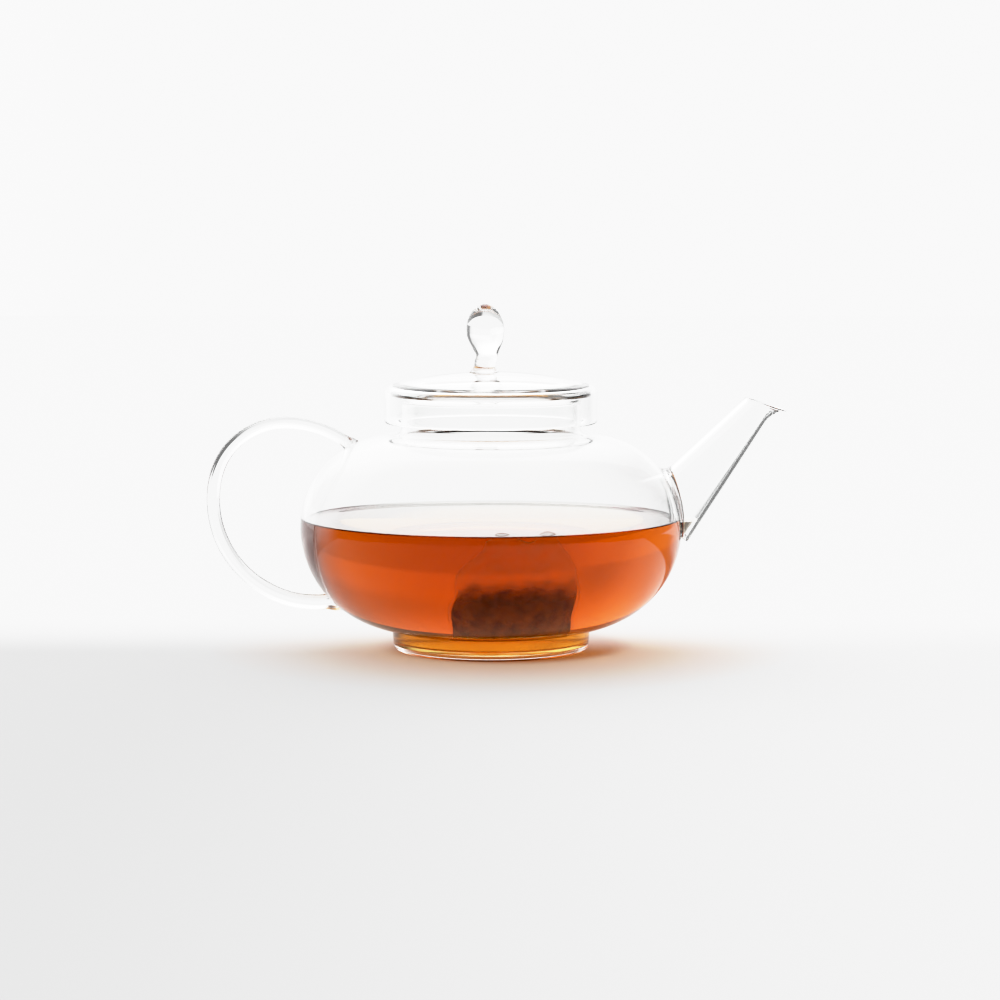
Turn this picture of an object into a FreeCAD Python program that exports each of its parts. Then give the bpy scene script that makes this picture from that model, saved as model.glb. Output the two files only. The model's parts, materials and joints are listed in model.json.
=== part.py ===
import FreeCAD, Part
import math
import os

import Sketcher

# A glass teapot with a lift-off lid. Millimetres, +Z up. The origin is where the pot's axis meets
# the table. The spout points along +X, the handle along -X.

# Driving dimensions: alias, value, what it is.
DIMENSIONS = [
    ("body_radius", 80.0, "widest outside radius of the bowl"),
    ("equator_height", 51.5, "height of the widest line above the table"),
    ("lower_arc_radius", 42.6, "outside arc from the widest line down to the foot"),
    ("upper_arc_radius", 38.6, "outside arc from the widest line up to the shoulder"),
    ("glass_wall", 2.0, "wall of the bowl, neck and lid"),
    ("neck_radius", 37.5, "outside radius of the neck"),
    ("shoulder_fillet", 3.0, "outside fillet between shoulder and neck"),
    ("rim_radius", 42.0, "outside radius of the flared rim"),
    ("rim_height", 109.0, "top of the rim above the table"),
    ("rim_thickness", 2.7, "thickness of the flared rim"),
    ("mouth_round", 3.0, "rounding from the neck's bore onto the rim"),
    ("weld_depth", 0.5, "how deep a fused piece is sunk into the glass it is fused to"),
    ("foot_radius", 41.7, "outside radius of the foot ring at its top"),
    ("foot_draft", 0.7, "how much narrower the foot ring is at the table"),
    ("foot_wall", 5.1, "thickness of the foot ring, with what is fused into the bowl"),
    ("foot_height", 11.0, "height of the foot ring's blank, above its seam with the bowl"),
    ("foot_outer_round", 1.6, "rounding of the outer lower edge"),
    ("foot_inner_round", 0.8, "rounding of the inner lower edge"),
    ("base_height", 1.4, "underside of the bowl's sunk bottom above the table"),
    ("base_round", 3.0, "outside rounding of the sunk bottom's edge"),
    ("spout_tilt", 50.0, "spout axis above the horizontal, in degrees"),
    ("spout_end_x", 111.5, "X of the spout axis where the straight cone ends"),
    ("spout_end_z", 101.6, "Z of the spout axis where the straight cone ends"),
    ("spout_end_radius", 6.65, "outside radius where the straight cone ends"),
    ("spout_half_angle", 6.9, "half angle of the spout's cone, in degrees"),
    ("spout_length", 62.0, "length of the straight cone, with the stretch inside the bowl"),
    ("spout_wall", 1.6, "wall of the spout"),
    ("spout_straight", 4.0, "last stretch of the cone, which the pouring lip grows out of"),
    ("throat_slant", 19.5, "slant of the throat, where the lip starts to curl, in degrees"),
    ("throat_shift", 0.35, "shift of the throat's centre towards the pouring lip"),
    ("throat_advance", 0.5, "height of the throat's centre over the end of the cone"),
    ("throat_long_radius", 7.5, "outside half length of the throat, in its own plane"),
    ("mouth_slant", 22.2, "slant of the spout's mouth to its axis, in degrees"),
    ("mouth_shift", 2.0, "shift of the mouth's centre towards the pouring lip"),
    ("mouth_advance", 2.8, "height of the mouth's centre over the end of the cone"),
    ("mouth_long_radius", 9.2, "outside half length of the mouth, in its own plane"),
    ("mouth_wide_radius", 7.2, "outside half width of the mouth"),
    ("handle_crown_x", 86.2, "distance of the handle's highest point from the pot's axis"),
    ("handle_crown_z", 95.1, "height of the handle's highest point, on its centre line"),
    ("handle_arm_radius", 44.3, "bend from the crown to the upper joint"),
    ("handle_arm_turn", 35.2, "turn of that bend, in degrees"),
    ("handle_back_radius", 29.9, "bend from the crown round the back"),
    ("handle_back_turn", 77.9, "turn of that bend, in degrees"),
    ("handle_foot_radius", 43.0, "bend from the back to the lower joint"),
    ("handle_foot_turn", 106.6, "turn of that bend, in degrees"),
    ("handle_stub", 6.0, "straight stubs at both ends, which run into the bowl"),
    ("handle_top_rod", 2.3, "radius of the rod at its upper end"),
    ("handle_low_rod", 3.3, "radius of the rod at its lower end"),
    ("lid_radius", 44.5, "outside radius of the lid's skirt"),
    ("lid_gap", 0.2, "clearance between rim and lid"),
    ("lid_dome", 5.1, "rise of the lid's top from its edge to its middle"),
    ("lid_corner", 2.5, "rounding between the lid's top and its skirt"),
    ("lid_edge_round", 0.9, "rounding of the skirt's lower edges"),
    ("skirt_bottom", 94.9, "lower edge of the skirt above the table"),
    ("knob_offset", -2.5, "how far the hand-set knob stands off the lid's centre, along X"),
    ("knob_top", 144.6, "top of the knob above the table"),
    ("knob_cap_radius", 3.4, "radius where the knob's cap meets its side"),
    ("knob_cap_height", 143.4, "height where the knob's cap meets its side"),
    ("knob_radius", 7.95, "widest radius of the knob"),
    ("knob_widest_height", 134.0, "height of the knob's widest line"),
    ("knob_side_arc", 12.0, "arc of the knob's side above its widest line"),
    ("knob_taper_radius", 5.0, "radius at the end of the knob's taper"),
    ("knob_taper_height", 124.5, "height of the end of the knob's taper"),
    ("knob_taper_arc", 16.8, "arc of the knob's taper"),
    ("knob_stem_radius", 4.5, "radius of the knob's stem"),
    ("knob_waist_height", 122.9, "top of the stem"),
    ("knob_waist_arc", 2.9, "arc from the taper into the stem"),
    ("knob_weld_flare", 1.9, "flare of the stem onto the lid"),
]

SHEET = "Dimensions"


def dim(alias):
    """The expression that reads one cell of the sheet."""
    return f"{SHEET}.{alias}"


def fill_sheet(doc):
    sheet = doc.addObject("Spreadsheet::Sheet", SHEET)
    for row, (alias, value, note) in enumerate(DIMENSIONS, start=1):
        sheet.set(f"A{row}", note)
        sheet.set(f"B{row}", str(value))
        sheet.setAlias(f"B{row}", alias)
    doc.recompute()
    return sheet


def origin_plane(body, role):
    for feature in body.Origin.OriginFeatures:
        if feature.Role == role:
            return feature
    raise RuntimeError(f"{body.Name} has no {role}")


def new_sketch(body, name, plane="XZ_Plane"):
    sketch = body.newObject("Sketcher::SketchObject", name)
    sketch.AttachmentSupport = [(origin_plane(body, plane), "")]
    sketch.MapMode = "FlatFace"
    return sketch


def bind(sketch, name, constraint, expression):
    """Adds a named dimension to a sketch and binds it to an expression."""
    index = sketch.addConstraint(constraint)
    sketch.renameConstraint(index, name)
    sketch.setExpression(f"Constraints.{name}", expression)


def pin_point(sketch, name, geometry, end, x, z):
    """Holds one end of an edge at the place that two expressions give."""
    origin, axis_h, axis_v, vertex = -1, -1, -2, 1
    if x == "0":
        sketch.addConstraint(Sketcher.Constraint("PointOnObject", geometry, end, axis_v))
    else:
        value = sketch.evalExpression(x)
        measure = Sketcher.Constraint("DistanceX", origin, vertex, geometry, end, value)
        bind(sketch, f"{name}_x", measure, x)
    if z == "0":
        sketch.addConstraint(Sketcher.Constraint("PointOnObject", geometry, end, axis_h))
    else:
        value = sketch.evalExpression(z)
        measure = Sketcher.Constraint("DistanceY", origin, vertex, geometry, end, value)
        bind(sketch, f"{name}_z", measure, z)


def arc_edge(start, end, radius, turn):
    """The arc from start to end that turns left or right, and whether it is stored reversed."""
    chord = end - start
    middle = (start + end) * 0.5
    rise = math.sqrt(max(radius**2 - chord.Length**2 / 4, 0.0))
    left = FreeCAD.Vector(-chord.y, chord.x, 0)
    left.normalize()
    centre = middle + left * (rise if turn == "left" else -rise)
    first, last = (start, end) if turn == "left" else (end, start)
    angles = [math.atan2(p.y - centre.y, p.x - centre.x) for p in (first, last)]
    circle = Part.Circle(centre, FreeCAD.Vector(0, 0, 1), radius)
    return Part.ArcOfCircle(circle, angles[0], angles[1]), turn != "left"


def draw_path(sketch, corners, closed=True):
    """Draws lines and arcs from corner to corner.

    A corner is (x, z) at the end of a line, or (x, z, radius, turn) at the end of an arc.
    """
    places = [
        FreeCAD.Vector(sketch.evalExpression(c[0]), sketch.evalExpression(c[1]), 0)
        for c in corners
    ]
    ends = []
    first = 0 if closed else 1
    for index in range(first, len(corners)):
        start, end = places[index - 1], places[index]
        corner = corners[index]
        if len(corner) == 2:
            geometry = sketch.addGeometry(Part.LineSegment(start, end), False)
            reversed_edge = False
        else:
            radius = sketch.evalExpression(corner[2])
            edge, reversed_edge = arc_edge(start, end, radius, corner[3])
            geometry = sketch.addGeometry(edge, False)
            measure = Sketcher.Constraint("Radius", geometry, radius)
            bind(sketch, f"bend_{index}", measure, corner[2])
        ends.append((geometry, (2, 1) if reversed_edge else (1, 2)))
        pin_point(sketch, f"corner_{index}", geometry, ends[-1][1][1], corner[0], corner[1])
    if not closed:
        geometry, sides = ends[0]
        pin_point(sketch, "corner_0", geometry, sides[0], corners[0][0], corners[0][1])
    followers = ends[1:] + ends[:1] if closed else ends[1:]
    for (one, one_sides), (two, two_sides) in zip(ends, followers):
        sketch.addConstraint(Sketcher.Constraint("Coincident", one, one_sides[1], two, two_sides[0]))


def full_turn(body, sketch, kind, name):
    """Turns a half profile round the sketch's upright axis."""
    feature = body.newObject(f"PartDesign::{kind}", name)
    feature.Profile = sketch
    feature.ReferenceAxis = (sketch, ["V_Axis"])
    feature.Angle = 360.0
    return feature


def shell_corners(inset):
    """The bowl's half outline from the axis to the neck, drawn an inset inside the outer face.

    The bottom is sunk into the foot ring, so the outline first rises along the ring.
    """
    lower_centre = f"{dim('body_radius')} - {dim('lower_arc_radius')}"
    upper_centre = f"{dim('body_radius')} - {dim('upper_arc_radius')}"
    base = f"{dim('base_height')} + {inset}"
    seam = f"{dim('equator_height')} - {dim('lower_arc_radius')}"
    shoulder = f"{dim('equator_height')} + {dim('upper_arc_radius')} - {inset}"
    fillet_end = f"{dim('equator_height')} + {dim('upper_arc_radius')} + {dim('shoulder_fillet')}"
    corners = [
        ("0", base),
        (f"{lower_centre} - {dim('base_round')}", base),
        (
            f"{lower_centre} - {inset}",
            f"{dim('base_height')} + {dim('base_round')}",
            f"{dim('base_round')} - {inset}",
            "left",
        ),
        (f"{lower_centre} - {inset}", seam),
    ]
    if inset != "0":
        corners.append((lower_centre, f"{seam} + {inset}", inset, "right"))
    return corners + [
        (
            f"{dim('body_radius')} - {inset}",
            dim("equator_height"),
            f"{dim('lower_arc_radius')} - {inset}",
            "left",
        ),
        (upper_centre, shoulder, f"{dim('upper_arc_radius')} - {inset}", "left"),
        (f"{dim('neck_radius')} + {dim('shoulder_fillet')}", shoulder),
        (
            f"{dim('neck_radius')} - {inset}",
            fillet_end,
            f"{dim('shoulder_fillet')} + {inset}",
            "right",
        ),
    ]


def rim_corners():
    """The outside of the neck's top: a trumpet flare under a rim with a round edge."""
    half = f"{dim('rim_thickness')} / 2"
    edge_centre = f"{dim('rim_radius')} - {half}"
    underside = f"{dim('rim_height')} - {dim('rim_thickness')}"
    flare = f"({edge_centre} - {dim('neck_radius')})"
    return [
        (dim("neck_radius"), f"{underside} - {flare}"),
        (edge_centre, underside, flare, "right"),
        (dim("rim_radius"), f"{dim('rim_height')} - {half}", half, "left"),
        (edge_centre, dim("rim_height"), half, "left"),
        ("0", dim("rim_height")),
    ]


def mouth_corners():
    """The bore of the neck, which rounds off onto the rim's flat top."""
    bore = f"{dim('neck_radius')} - {dim('glass_wall')}"
    return [
        (bore, f"{dim('rim_height')} - {dim('mouth_round')}"),
        (f"{bore} + {dim('mouth_round')}", dim("rim_height"), dim("mouth_round"), "right"),
        ("0", dim("rim_height")),
    ]


def make_bowl_blank(doc):
    """The blown bowl with its neck and rim, before the spout's hole is opened."""
    body = doc.addObject("PartDesign::Body", "bowl_blank")
    outline = new_sketch(body, "bowl_outline")
    draw_path(outline, shell_corners("0") + rim_corners())
    full_turn(body, outline, "Revolution", "bowl_solid")
    cavity = new_sketch(body, "cavity_outline")
    draw_path(cavity, shell_corners(dim("glass_wall")) + mouth_corners())
    full_turn(body, cavity, "Groove", "bowl_cavity")
    return body


def make_bowl_core(doc):
    """A tool: the bowl's outer form less the weld depth, which fused pieces are trimmed to."""
    body = doc.addObject("PartDesign::Body", "bowl_core")
    outline = new_sketch(body, "core_outline")
    top = [
        (f"{dim('neck_radius')} - {dim('weld_depth')}", dim("rim_height")),
        ("0", dim("rim_height")),
    ]
    draw_path(outline, shell_corners(dim("weld_depth")) + top)
    full_turn(body, outline, "Revolution", "core_solid")
    return body


def make_foot_blank(doc):
    """The foot ring, with rounded lower edges and a narrow flat band to stand on."""
    body = doc.addObject("PartDesign::Body", "foot_blank")
    outline = new_sketch(body, "foot_outline")
    low_radius = f"{dim('foot_radius')} - {dim('foot_draft')}"
    inner_radius = f"{dim('foot_radius')} - {dim('foot_wall')}"
    corners = [
        (inner_radius, dim("foot_height")),
        (inner_radius, dim("foot_inner_round")),
        (
            f"{inner_radius} + {dim('foot_inner_round')}",
            "0",
            dim("foot_inner_round"),
            "left",
        ),
        (f"{low_radius} - {dim('foot_outer_round')}", "0"),
        (low_radius, dim("foot_outer_round"), dim("foot_outer_round"), "left"),
        (dim("foot_radius"), dim("foot_height")),
    ]
    draw_path(outline, corners)
    full_turn(body, outline, "Revolution", "foot_solid")
    return body


def cone_radius(along, inset):
    """Radius of the spout's cone at a distance along it from its lower end."""
    from_end = f"({dim('spout_length')} - ({along}))"
    return f"{dim('spout_end_radius')} + {from_end} * tan({dim('spout_half_angle')}) - ({inset})"


def add_cone(body, kind, name, inset):
    """The straight part of the spout's outside or of its bore."""
    length = f"{dim('spout_length')} - {dim('spout_straight')}"
    cone = body.newObject(f"PartDesign::{kind}", name)
    cone.AttachmentSupport = [(origin_plane(body, "XY_Plane"), "")]
    cone.MapMode = "FlatFace"
    cone.setExpression("Radius1", cone_radius("0", inset))
    cone.setExpression("Radius2", cone_radius(length, inset))
    cone.setExpression("Height", length)
    return cone


def add_oval_section(body, name, place, inset):
    """A slanted oval across the spout, shifted towards the pouring lip.

    The place gives expressions for its shift, advance, slant, half length and half width.
    """
    shift, advance, slant, long_radius, wide_radius = place
    sketch = new_sketch(body, name, "XY_Plane")
    sketch.AttachmentOffset.Rotation.Axis = FreeCAD.Vector(0, -1, 0)
    sketch.setExpression("AttachmentOffset.Rotation.Angle", slant)
    sketch.setExpression("AttachmentOffset.Base.x", shift)
    sketch.setExpression("AttachmentOffset.Base.z", f"{dim('spout_length')} + {advance}")
    long_half = f"{long_radius} - ({inset})"
    wide_half = f"{wide_radius} - ({inset})"
    long_value = sketch.evalExpression(long_half)
    wide_value = sketch.evalExpression(wide_half)
    outline = Part.Ellipse(
        FreeCAD.Vector(long_value, 0, 0),
        FreeCAD.Vector(0, wide_value, 0),
        FreeCAD.Vector(0, 0, 0),
    )
    oval = sketch.addGeometry(outline, False)
    sketch.exposeInternalGeometry(oval)
    long_axis, wide_axis = oval + 1, oval + 2
    sketch.addConstraint(Sketcher.Constraint("Coincident", oval, 3, -1, 1))
    sketch.addConstraint(Sketcher.Constraint("Horizontal", long_axis))
    long_measure = Sketcher.Constraint("Distance", long_axis, 1, long_axis, 2, 2 * long_value)
    bind(sketch, "long", long_measure, f"2 * ({long_half})")
    wide_measure = Sketcher.Constraint("Distance", wide_axis, 1, wide_axis, 2, 2 * wide_value)
    bind(sketch, "wide", wide_measure, f"2 * ({wide_half})")
    return sketch


def add_lip(body, kind, name, inset):
    """The end of the spout's outside or of its bore, which opens into the slanted mouth."""
    cone_end = cone_radius(f"{dim('spout_length')} - {dim('spout_straight')}", "0")
    places = {
        "start": ("0", f"(-{dim('spout_straight')})", "0", cone_end, cone_end),
        "throat": (
            dim("throat_shift"),
            dim("throat_advance"),
            dim("throat_slant"),
            dim("throat_long_radius"),
            dim("spout_end_radius"),
        ),
        "mouth": (
            dim("mouth_shift"),
            dim("mouth_advance"),
            dim("mouth_slant"),
            dim("mouth_long_radius"),
            dim("mouth_wide_radius"),
        ),
    }
    sections = [
        add_oval_section(body, f"{name}_{label}", place, inset)
        for label, place in places.items()
    ]
    loft = body.newObject(f"PartDesign::{kind}", name)
    loft.Profile = sections[0]
    loft.Sections = sections[1:]
    return loft


def place_on_spout_axis(feature):
    """Moves a piece drawn upright so that it lies along the spout's axis."""
    tilt = dim("spout_tilt")
    feature.Placement.Rotation.Axis = FreeCAD.Vector(0, 1, 0)
    feature.setExpression("Placement.Rotation.Angle", f"90 - {tilt}")
    feature.setExpression(
        "Placement.Base.x", f"{dim('spout_end_x')} - {dim('spout_length')} * cos({tilt})"
    )
    feature.setExpression(
        "Placement.Base.z", f"{dim('spout_end_z')} - {dim('spout_length')} * sin({tilt})"
    )


def make_spout_tube(doc):
    body = doc.addObject("PartDesign::Body", "spout_tube")
    add_cone(body, "AdditiveCone", "spout_cone", "0")
    add_lip(body, "AdditiveLoft", "spout_lip", "0")
    add_cone(body, "SubtractiveCone", "spout_bore", dim("spout_wall"))
    add_lip(body, "SubtractiveLoft", "spout_throat", dim("spout_wall"))
    place_on_spout_axis(body)
    return body


def make_spout_drill(doc):
    """A tool: the cone of the spout's bore, long enough to open the bowl's wall."""
    length = f"{dim('spout_length')} / 2"
    cone = doc.addObject("Part::Cone", "spout_drill")
    cone.setExpression("Radius1", cone_radius("0", dim("spout_wall")))
    cone.setExpression("Radius2", cone_radius(length, dim("spout_wall")))
    cone.setExpression("Height", length)
    place_on_spout_axis(cone)
    return cone


def handle_corners():
    """The handle's centre line, from inside the shoulder over the crown to the lower joint."""
    crown_x = f"-{dim('handle_crown_x')}"
    crown_z = dim("handle_crown_z")
    arm, arm_turn = dim("handle_arm_radius"), dim("handle_arm_turn")
    back, back_turn = dim("handle_back_radius"), dim("handle_back_turn")
    foot, foot_turn = dim("handle_foot_radius"), dim("handle_foot_turn")
    stub = dim("handle_stub")
    upper_x = f"{crown_x} + {arm} * sin({arm_turn})"
    upper_z = f"{crown_z} - {arm} * (1 - cos({arm_turn}))"
    back_x = f"{crown_x} - {back} * sin({back_turn})"
    back_z = f"{crown_z} - {back} * (1 - cos({back_turn}))"
    turned = f"({back_turn} + {foot_turn})"
    lower_x = f"{back_x} + {foot} * (sin({back_turn}) - sin{turned})"
    lower_z = f"{back_z} - {foot} * (cos({back_turn}) - cos{turned})"
    return [
        (f"{upper_x} + {stub} * cos({arm_turn})", f"{upper_z} - {stub} * sin({arm_turn})"),
        (upper_x, upper_z),
        (crown_x, crown_z, arm, "left"),
        (back_x, back_z, back, "left"),
        (lower_x, lower_z, foot, "left"),
        (f"{lower_x} - {stub} * cos{turned}", f"{lower_z} - {stub} * sin{turned}"),
    ]


def add_rod_section(body, spine, name, edge, along, alias):
    """A circle across one end of the handle's centre line."""
    sketch = body.newObject("Sketcher::SketchObject", name)
    sketch.AttachmentSupport = [(spine, edge)]
    sketch.MapMode = "NormalToEdge"
    sketch.MapPathParameter = along
    radius = sketch.evalExpression(dim(alias))
    centre = FreeCAD.Vector(0, 0, 0)
    circle = sketch.addGeometry(Part.Circle(centre, FreeCAD.Vector(0, 0, 1), radius), False)
    sketch.addConstraint(Sketcher.Constraint("Coincident", circle, 3, -1, 1))
    bind(sketch, "radius", Sketcher.Constraint("Radius", circle, radius), dim(alias))
    return sketch


def make_handle_rod(doc):
    """The solid rod of the handle, which thickens evenly from its upper to its lower end."""
    body = doc.addObject("PartDesign::Body", "handle_rod")
    spine = new_sketch(body, "handle_line")
    corners = handle_corners()
    draw_path(spine, corners, closed=False)
    doc.recompute()
    last_edge = f"Edge{len(corners) - 1}"
    top = add_rod_section(body, spine, "rod_top", "Edge1", 0.0, "handle_top_rod")
    low = add_rod_section(body, spine, "rod_low", last_edge, 1.0, "handle_low_rod")
    pipe = body.newObject("PartDesign::AdditivePipe", "handle_pipe")
    pipe.Profile = top
    pipe.Spine = (spine, [f"Edge{number}" for number in range(1, len(corners))])
    pipe.Transformation = "Multisection"
    pipe.Sections = [low]
    return body


def lid_top(drop):
    """Height of the middle of the lid's top face, lowered by a drop."""
    seat = f"{dim('rim_height')} + {dim('lid_gap')}"
    return f"{seat} + {dim('glass_wall')} + {dim('lid_dome')} - {drop}"


def arc_through(half_width, rise):
    """Radius of the arc that rises from its edge to its middle."""
    return f"(({half_width}) ^ 2 + ({rise}) ^ 2) / (2 * ({rise}))"


def lid_top_corners(drop):
    """The lid's domed top face, lowered by a drop, from the axis to the edge of the dome."""
    dome_edge = f"{dim('lid_radius')} - {dim('lid_corner')}"
    edge_height = f"{lid_top(drop)} - {dim('lid_dome')}"
    dome_arc = arc_through(dome_edge, dim("lid_dome"))
    return [("0", lid_top(drop)), (dome_edge, edge_height, dome_arc, "right")]


def make_lid_cap(doc):
    """The domed disc with its skirt, which hangs round the outside of the rim."""
    body = doc.addObject("PartDesign::Body", "lid_cap")
    outline = new_sketch(body, "lid_outline")
    rounding = dim("lid_edge_round")
    outer, inner = dim("lid_radius"), f"{dim('lid_radius')} - {dim('glass_wall')}"
    seat = f"{dim('rim_height')} + {dim('lid_gap')}"
    seat_edge = f"{dim('neck_radius')} - {dim('glass_wall')} + {dim('mouth_round')}"
    ceiling_arc = arc_through(seat_edge, dim("lid_dome"))
    corners = lid_top_corners("0") + [
        (
            outer,
            f"{seat} + {dim('glass_wall')} - {dim('lid_corner')}",
            dim("lid_corner"),
            "right",
        ),
        (outer, f"{dim('skirt_bottom')} + {rounding}"),
        (f"{outer} - {rounding}", dim("skirt_bottom"), rounding, "right"),
        (f"{inner} + {rounding}", dim("skirt_bottom")),
        (inner, f"{dim('skirt_bottom')} + {rounding}", rounding, "right"),
        (inner, seat),
        (seat_edge, seat),
        ("0", f"{seat} + {dim('lid_dome')}", ceiling_arc, "left"),
    ]
    draw_path(outline, corners)
    full_turn(body, outline, "Revolution", "lid_solid")
    return body


def make_lid_core(doc):
    """A tool: everything under the lid's top face less the weld depth."""
    body = doc.addObject("PartDesign::Body", "lid_core")
    outline = new_sketch(body, "lid_core_outline")
    drop = dim("weld_depth")
    dome_edge = f"{dim('lid_radius')} - {dim('lid_corner')}"
    seat = f"{dim('rim_height')} + {dim('lid_gap')}"
    corners = lid_top_corners(drop) + [(dome_edge, seat), ("0", seat)]
    draw_path(outline, corners)
    full_turn(body, outline, "Revolution", "lid_core_solid")
    return body


def make_knob_blank(doc):
    """The solid glass drop on its short stem, flared where it is fused to the lid."""
    body = doc.addObject("PartDesign::Body", "knob_blank")
    outline = new_sketch(body, "knob_outline")
    stem, flare = dim("knob_stem_radius"), dim("knob_weld_flare")
    base = lid_top("0")
    cap_arc = arc_through(dim("knob_cap_radius"), f"{dim('knob_top')} - {dim('knob_cap_height')}")
    corners = [
        ("0", f"{base} - {dim('glass_wall')}"),
        (f"{stem} + {flare}", f"{base} - {dim('glass_wall')}"),
        (f"{stem} + {flare}", base),
        (stem, f"{base} + {flare}", flare, "right"),
        (stem, dim("knob_waist_height")),
        (
            dim("knob_taper_radius"),
            dim("knob_taper_height"),
            dim("knob_waist_arc"),
            "right",
        ),
        (dim("knob_radius"), dim("knob_widest_height"), dim("knob_taper_arc"), "left"),
        (dim("knob_cap_radius"), dim("knob_cap_height"), dim("knob_side_arc"), "left"),
        ("0", dim("knob_top"), cap_arc, "left"),
    ]
    draw_path(outline, corners)
    full_turn(body, outline, "Revolution", "knob_solid")
    body.setExpression("Placement.Base.x", dim("knob_offset"))
    return body


def cut(doc, name, base, tool):
    feature = doc.addObject("Part::Cut", name)
    feature.Base = base
    feature.Tool = tool
    return feature


def build(doc):
    """Makes every sub-part and returns them by name."""
    fill_sheet(doc)
    bowl_core = make_bowl_core(doc)
    parts = {
        "bowl": cut(doc, "bowl", make_bowl_blank(doc), make_spout_drill(doc)),
        "foot_ring": cut(doc, "foot_ring", make_foot_blank(doc), bowl_core),
        "spout": cut(doc, "spout", make_spout_tube(doc), bowl_core),
        "handle": cut(doc, "handle", make_handle_rod(doc), bowl_core),
        "lid_cap": make_lid_cap(doc),
        "lid_knob": cut(doc, "lid_knob", make_knob_blank(doc), make_lid_core(doc)),
    }
    for label, feature in parts.items():
        feature.Label = label
    doc.recompute()
    return parts


def check(doc, parts):
    """Stops if anything in the document failed or a sub-part isn't one good solid."""
    for feature in doc.Objects:
        if {"Invalid", "Error"} & set(feature.State):
            raise RuntimeError(f"{feature.Name} is {feature.State}")
    for label, feature in parts.items():
        shape = feature.Shape
        if shape.isNull() or not shape.isValid():
            raise RuntimeError(f"{label} has no valid shape")
        if len(shape.Solids) != 1:
            raise RuntimeError(f"{label} has {len(shape.Solids)} solids")


def main():
    doc = FreeCAD.newDocument("teapot")
    parts = build(doc)
    check(doc, parts)
    os.makedirs("parts", exist_ok=True)
    for label, feature in parts.items():
        feature.Shape.exportStep(f"parts/{label}.step")
        box = feature.Shape.BoundBox
        low = f"({box.XMin:.1f}, {box.YMin:.1f}, {box.ZMin:.1f})"
        high = f"({box.XMax:.1f}, {box.YMax:.1f}, {box.ZMax:.1f})"
        print(f"{label}: {feature.Shape.Volume:.0f} mm3, {low} to {high}")


main()
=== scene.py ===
import json
import math

import bmesh
import bpy
import numpy as np
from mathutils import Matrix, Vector, kdtree, noise


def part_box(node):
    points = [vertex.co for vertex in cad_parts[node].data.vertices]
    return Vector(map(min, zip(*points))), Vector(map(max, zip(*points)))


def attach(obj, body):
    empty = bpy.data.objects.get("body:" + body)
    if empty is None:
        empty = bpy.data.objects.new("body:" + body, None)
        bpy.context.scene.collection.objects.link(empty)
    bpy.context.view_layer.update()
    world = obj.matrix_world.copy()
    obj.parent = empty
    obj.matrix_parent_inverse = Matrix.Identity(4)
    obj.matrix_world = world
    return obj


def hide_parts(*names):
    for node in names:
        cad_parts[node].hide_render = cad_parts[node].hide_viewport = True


# A clear glass teapot half full of tea, with a tea bag on its bottom. Metres, +Z up, the origin on
# the table under the pot's axis, the spout along +X. Profiles are written in millimetres.

MM = 0.001
TURN = 2 * math.pi

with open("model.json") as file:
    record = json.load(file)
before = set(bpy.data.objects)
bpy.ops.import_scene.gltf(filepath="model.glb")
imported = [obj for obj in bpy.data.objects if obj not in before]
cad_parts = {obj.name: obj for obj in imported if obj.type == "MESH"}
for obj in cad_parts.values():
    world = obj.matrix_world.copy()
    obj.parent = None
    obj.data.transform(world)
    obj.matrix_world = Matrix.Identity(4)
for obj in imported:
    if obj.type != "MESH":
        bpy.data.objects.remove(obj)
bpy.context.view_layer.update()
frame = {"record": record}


# ---------------------------------------------------------------- sizes, read from the frame

def node_box(name):
    """A node's lowest and highest corner, in millimetres."""
    low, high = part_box(name)
    return [v / MM for v in low], [v / MM for v in high]


bowl_low, bowl_high = node_box("bowl")
foot_low, _ = node_box("foot_ring")
lid_low, lid_high = node_box("lid_cap")
knob_low, knob_high = node_box("lid_knob")

BODY_R = -bowl_low[0]
BASE_Z = bowl_low[2]
RIM_Z = bowl_high[2]
FOOT_R = -foot_low[1]
LID_R = lid_high[1]
SKIRT_Z = lid_low[2]
LID_TOP = lid_high[2]
KNOB_TOP = knob_high[2]
KNOB_X = (knob_low[0] + knob_high[0]) / 2

MOUTH_R = next(m["dims"]["r_mm"] for m in frame["record"]["mounts"] if m["kind"] == "bore")

# The bowl: a flat-bottomed globe of two arcs that meet at its widest height.
EQUATOR_Z = 51.5
LOW_ARC = 42.6
HIGH_ARC = 38.6
LOW_C = (BODY_R - LOW_ARC, EQUATOR_Z)
HIGH_C = (BODY_R - HIGH_ARC, EQUATOR_Z)
SHOULDER_Z = EQUATOR_Z + HIGH_ARC
WALL = 2.0
NECK_R = MOUTH_R + WALL
RIM_R = 42.0
RIM_T = 2.7
FILLET = 3.0
WELD = 0.5

# The foot ring and the bottom sunk into it.
FOOT_TOP_R = FOOT_R + 0.1
FOOT_IN = FOOT_TOP_R - 5.1
FOOT_OUT = FOOT_TOP_R + 0.7
FOOT_WELD_TOP = 15.0
BASE_ROUND = 3.0

# The spout: a cone whose axis ends in the middle of its mouth.
SPOUT_TILT = math.radians(50.0)
SPOUT_END = (111.5, 101.6)
SPOUT_END_R = 6.65
SPOUT_SLOPE = math.tan(math.radians(6.9))
SPOUT_WALL = 1.6
SPOUT_SIDES = 96

# The lid: its ceiling is just above the rim, and its top rises in a shallow, slightly wavy dome.
SEAT_Z = RIM_Z + 0.2
DOME = LID_TOP - SEAT_Z - WALL
HAND_MADE = 0.025

# The tea: its level, how far it creeps up the wall, and how far its skin lies inside the glass.
TEA_Z = 54.4
MENISCUS = 1.2
SINK = 0.08


# ---------------------------------------------------------------- mesh helpers

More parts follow.
